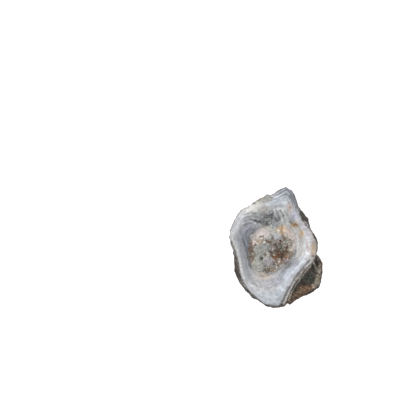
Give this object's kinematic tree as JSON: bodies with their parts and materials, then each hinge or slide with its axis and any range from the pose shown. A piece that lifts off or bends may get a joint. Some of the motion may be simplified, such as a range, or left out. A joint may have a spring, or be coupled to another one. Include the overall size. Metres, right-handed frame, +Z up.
{
  "type": "druzy agate",
  "caption": "Half of a small banded agate nodule with a rough rind and an open hollow lined with sparkling quartz crystals; lies on its back as a mineral specimen.",
  "frame": {"origin": "middle of the small flat spot on the underside that the stone rests on, below the middle of the hollow", "axes": "+Z up out of the open face, +Y towards the pointed end of the nodule, +X to the right when looking down on the open face"},
  "size_m": [0.0394, 0.0506, 0.0194],
  "materials": {
    "agate": "waxy banded chalcedony in blue-grey, white and cream, with a rough dark brown rind",
    "druse": "glassy small quartz crystals, grey-green to cream, stained brown and orange in patches"
  },
  "bodies": {
    "root": {"agate": "agate", "druse_crust": "druse"}
  },
  "joints": []
}
